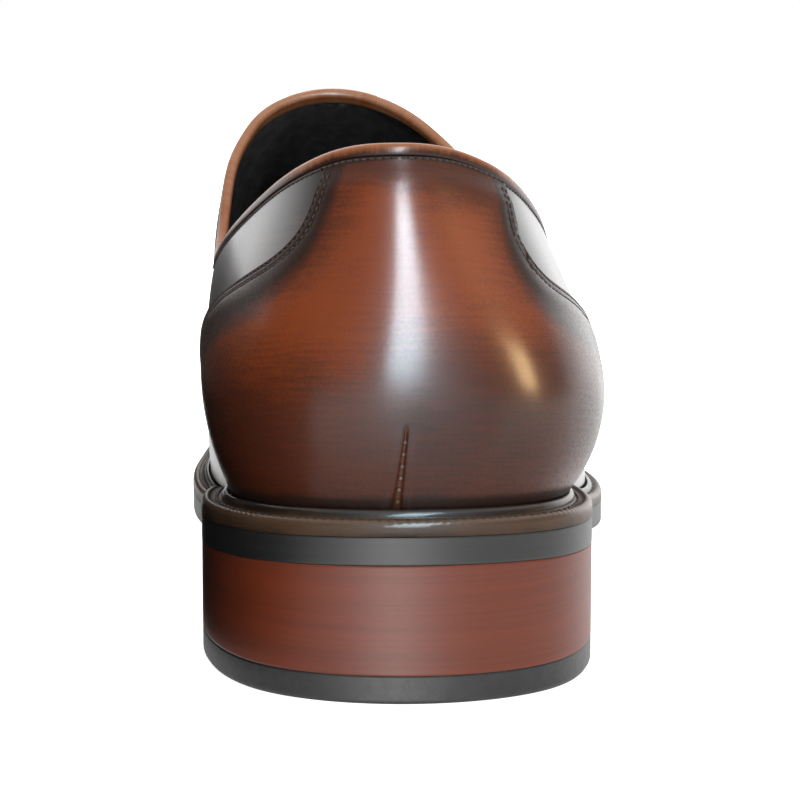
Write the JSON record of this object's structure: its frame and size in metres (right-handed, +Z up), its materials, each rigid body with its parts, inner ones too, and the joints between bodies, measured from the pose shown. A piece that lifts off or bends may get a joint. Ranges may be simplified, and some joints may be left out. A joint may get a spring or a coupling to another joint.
{
  "type": "tassel loafer",
  "caption": "Right-foot slip-on dress loafer with a hollow leather upper, stitched heel counter, bound collar, tassels, welted sole and stacked heel.",
  "frame": {"origin": "on the floor under the middle of the shoe's bounding box", "axes": "+Y from heel to toe, +Z up, +X towards the lateral side"},
  "size_m": [0.0946, 0.3, 0.099],
  "materials": {
    "upper_leather": "dark espresso, burnished gloss",
    "counter_leather": "warm brown, burnished dark at its edges, gloss",
    "binding_leather": "brown, satin",
    "insole_leather": "black, matt",
    "welt_leather": "brown, waxed",
    "outsole_leather": "black, waxed edge",
    "heel_stack_leather": "red-brown, painted and polished",
    "top_lift_rubber": "black, matt",
    "tassel_leather": "brown, satin"
  },
  "bodies": {
    "root": {"upper": "upper_leather", "heel_counter": "counter_leather", "collar_binding": "binding_leather", "insole": "insole_leather", "welt": "welt_leather", "outsole": "outsole_leather", "heel_stack": "heel_stack_leather", "heel_top_lift": "top_lift_rubber", "tassel_tie": "tassel_leather", "tassel_medial": "tassel_leather", "tassel_lateral": "tassel_leather"}
  },
  "joints": []
}
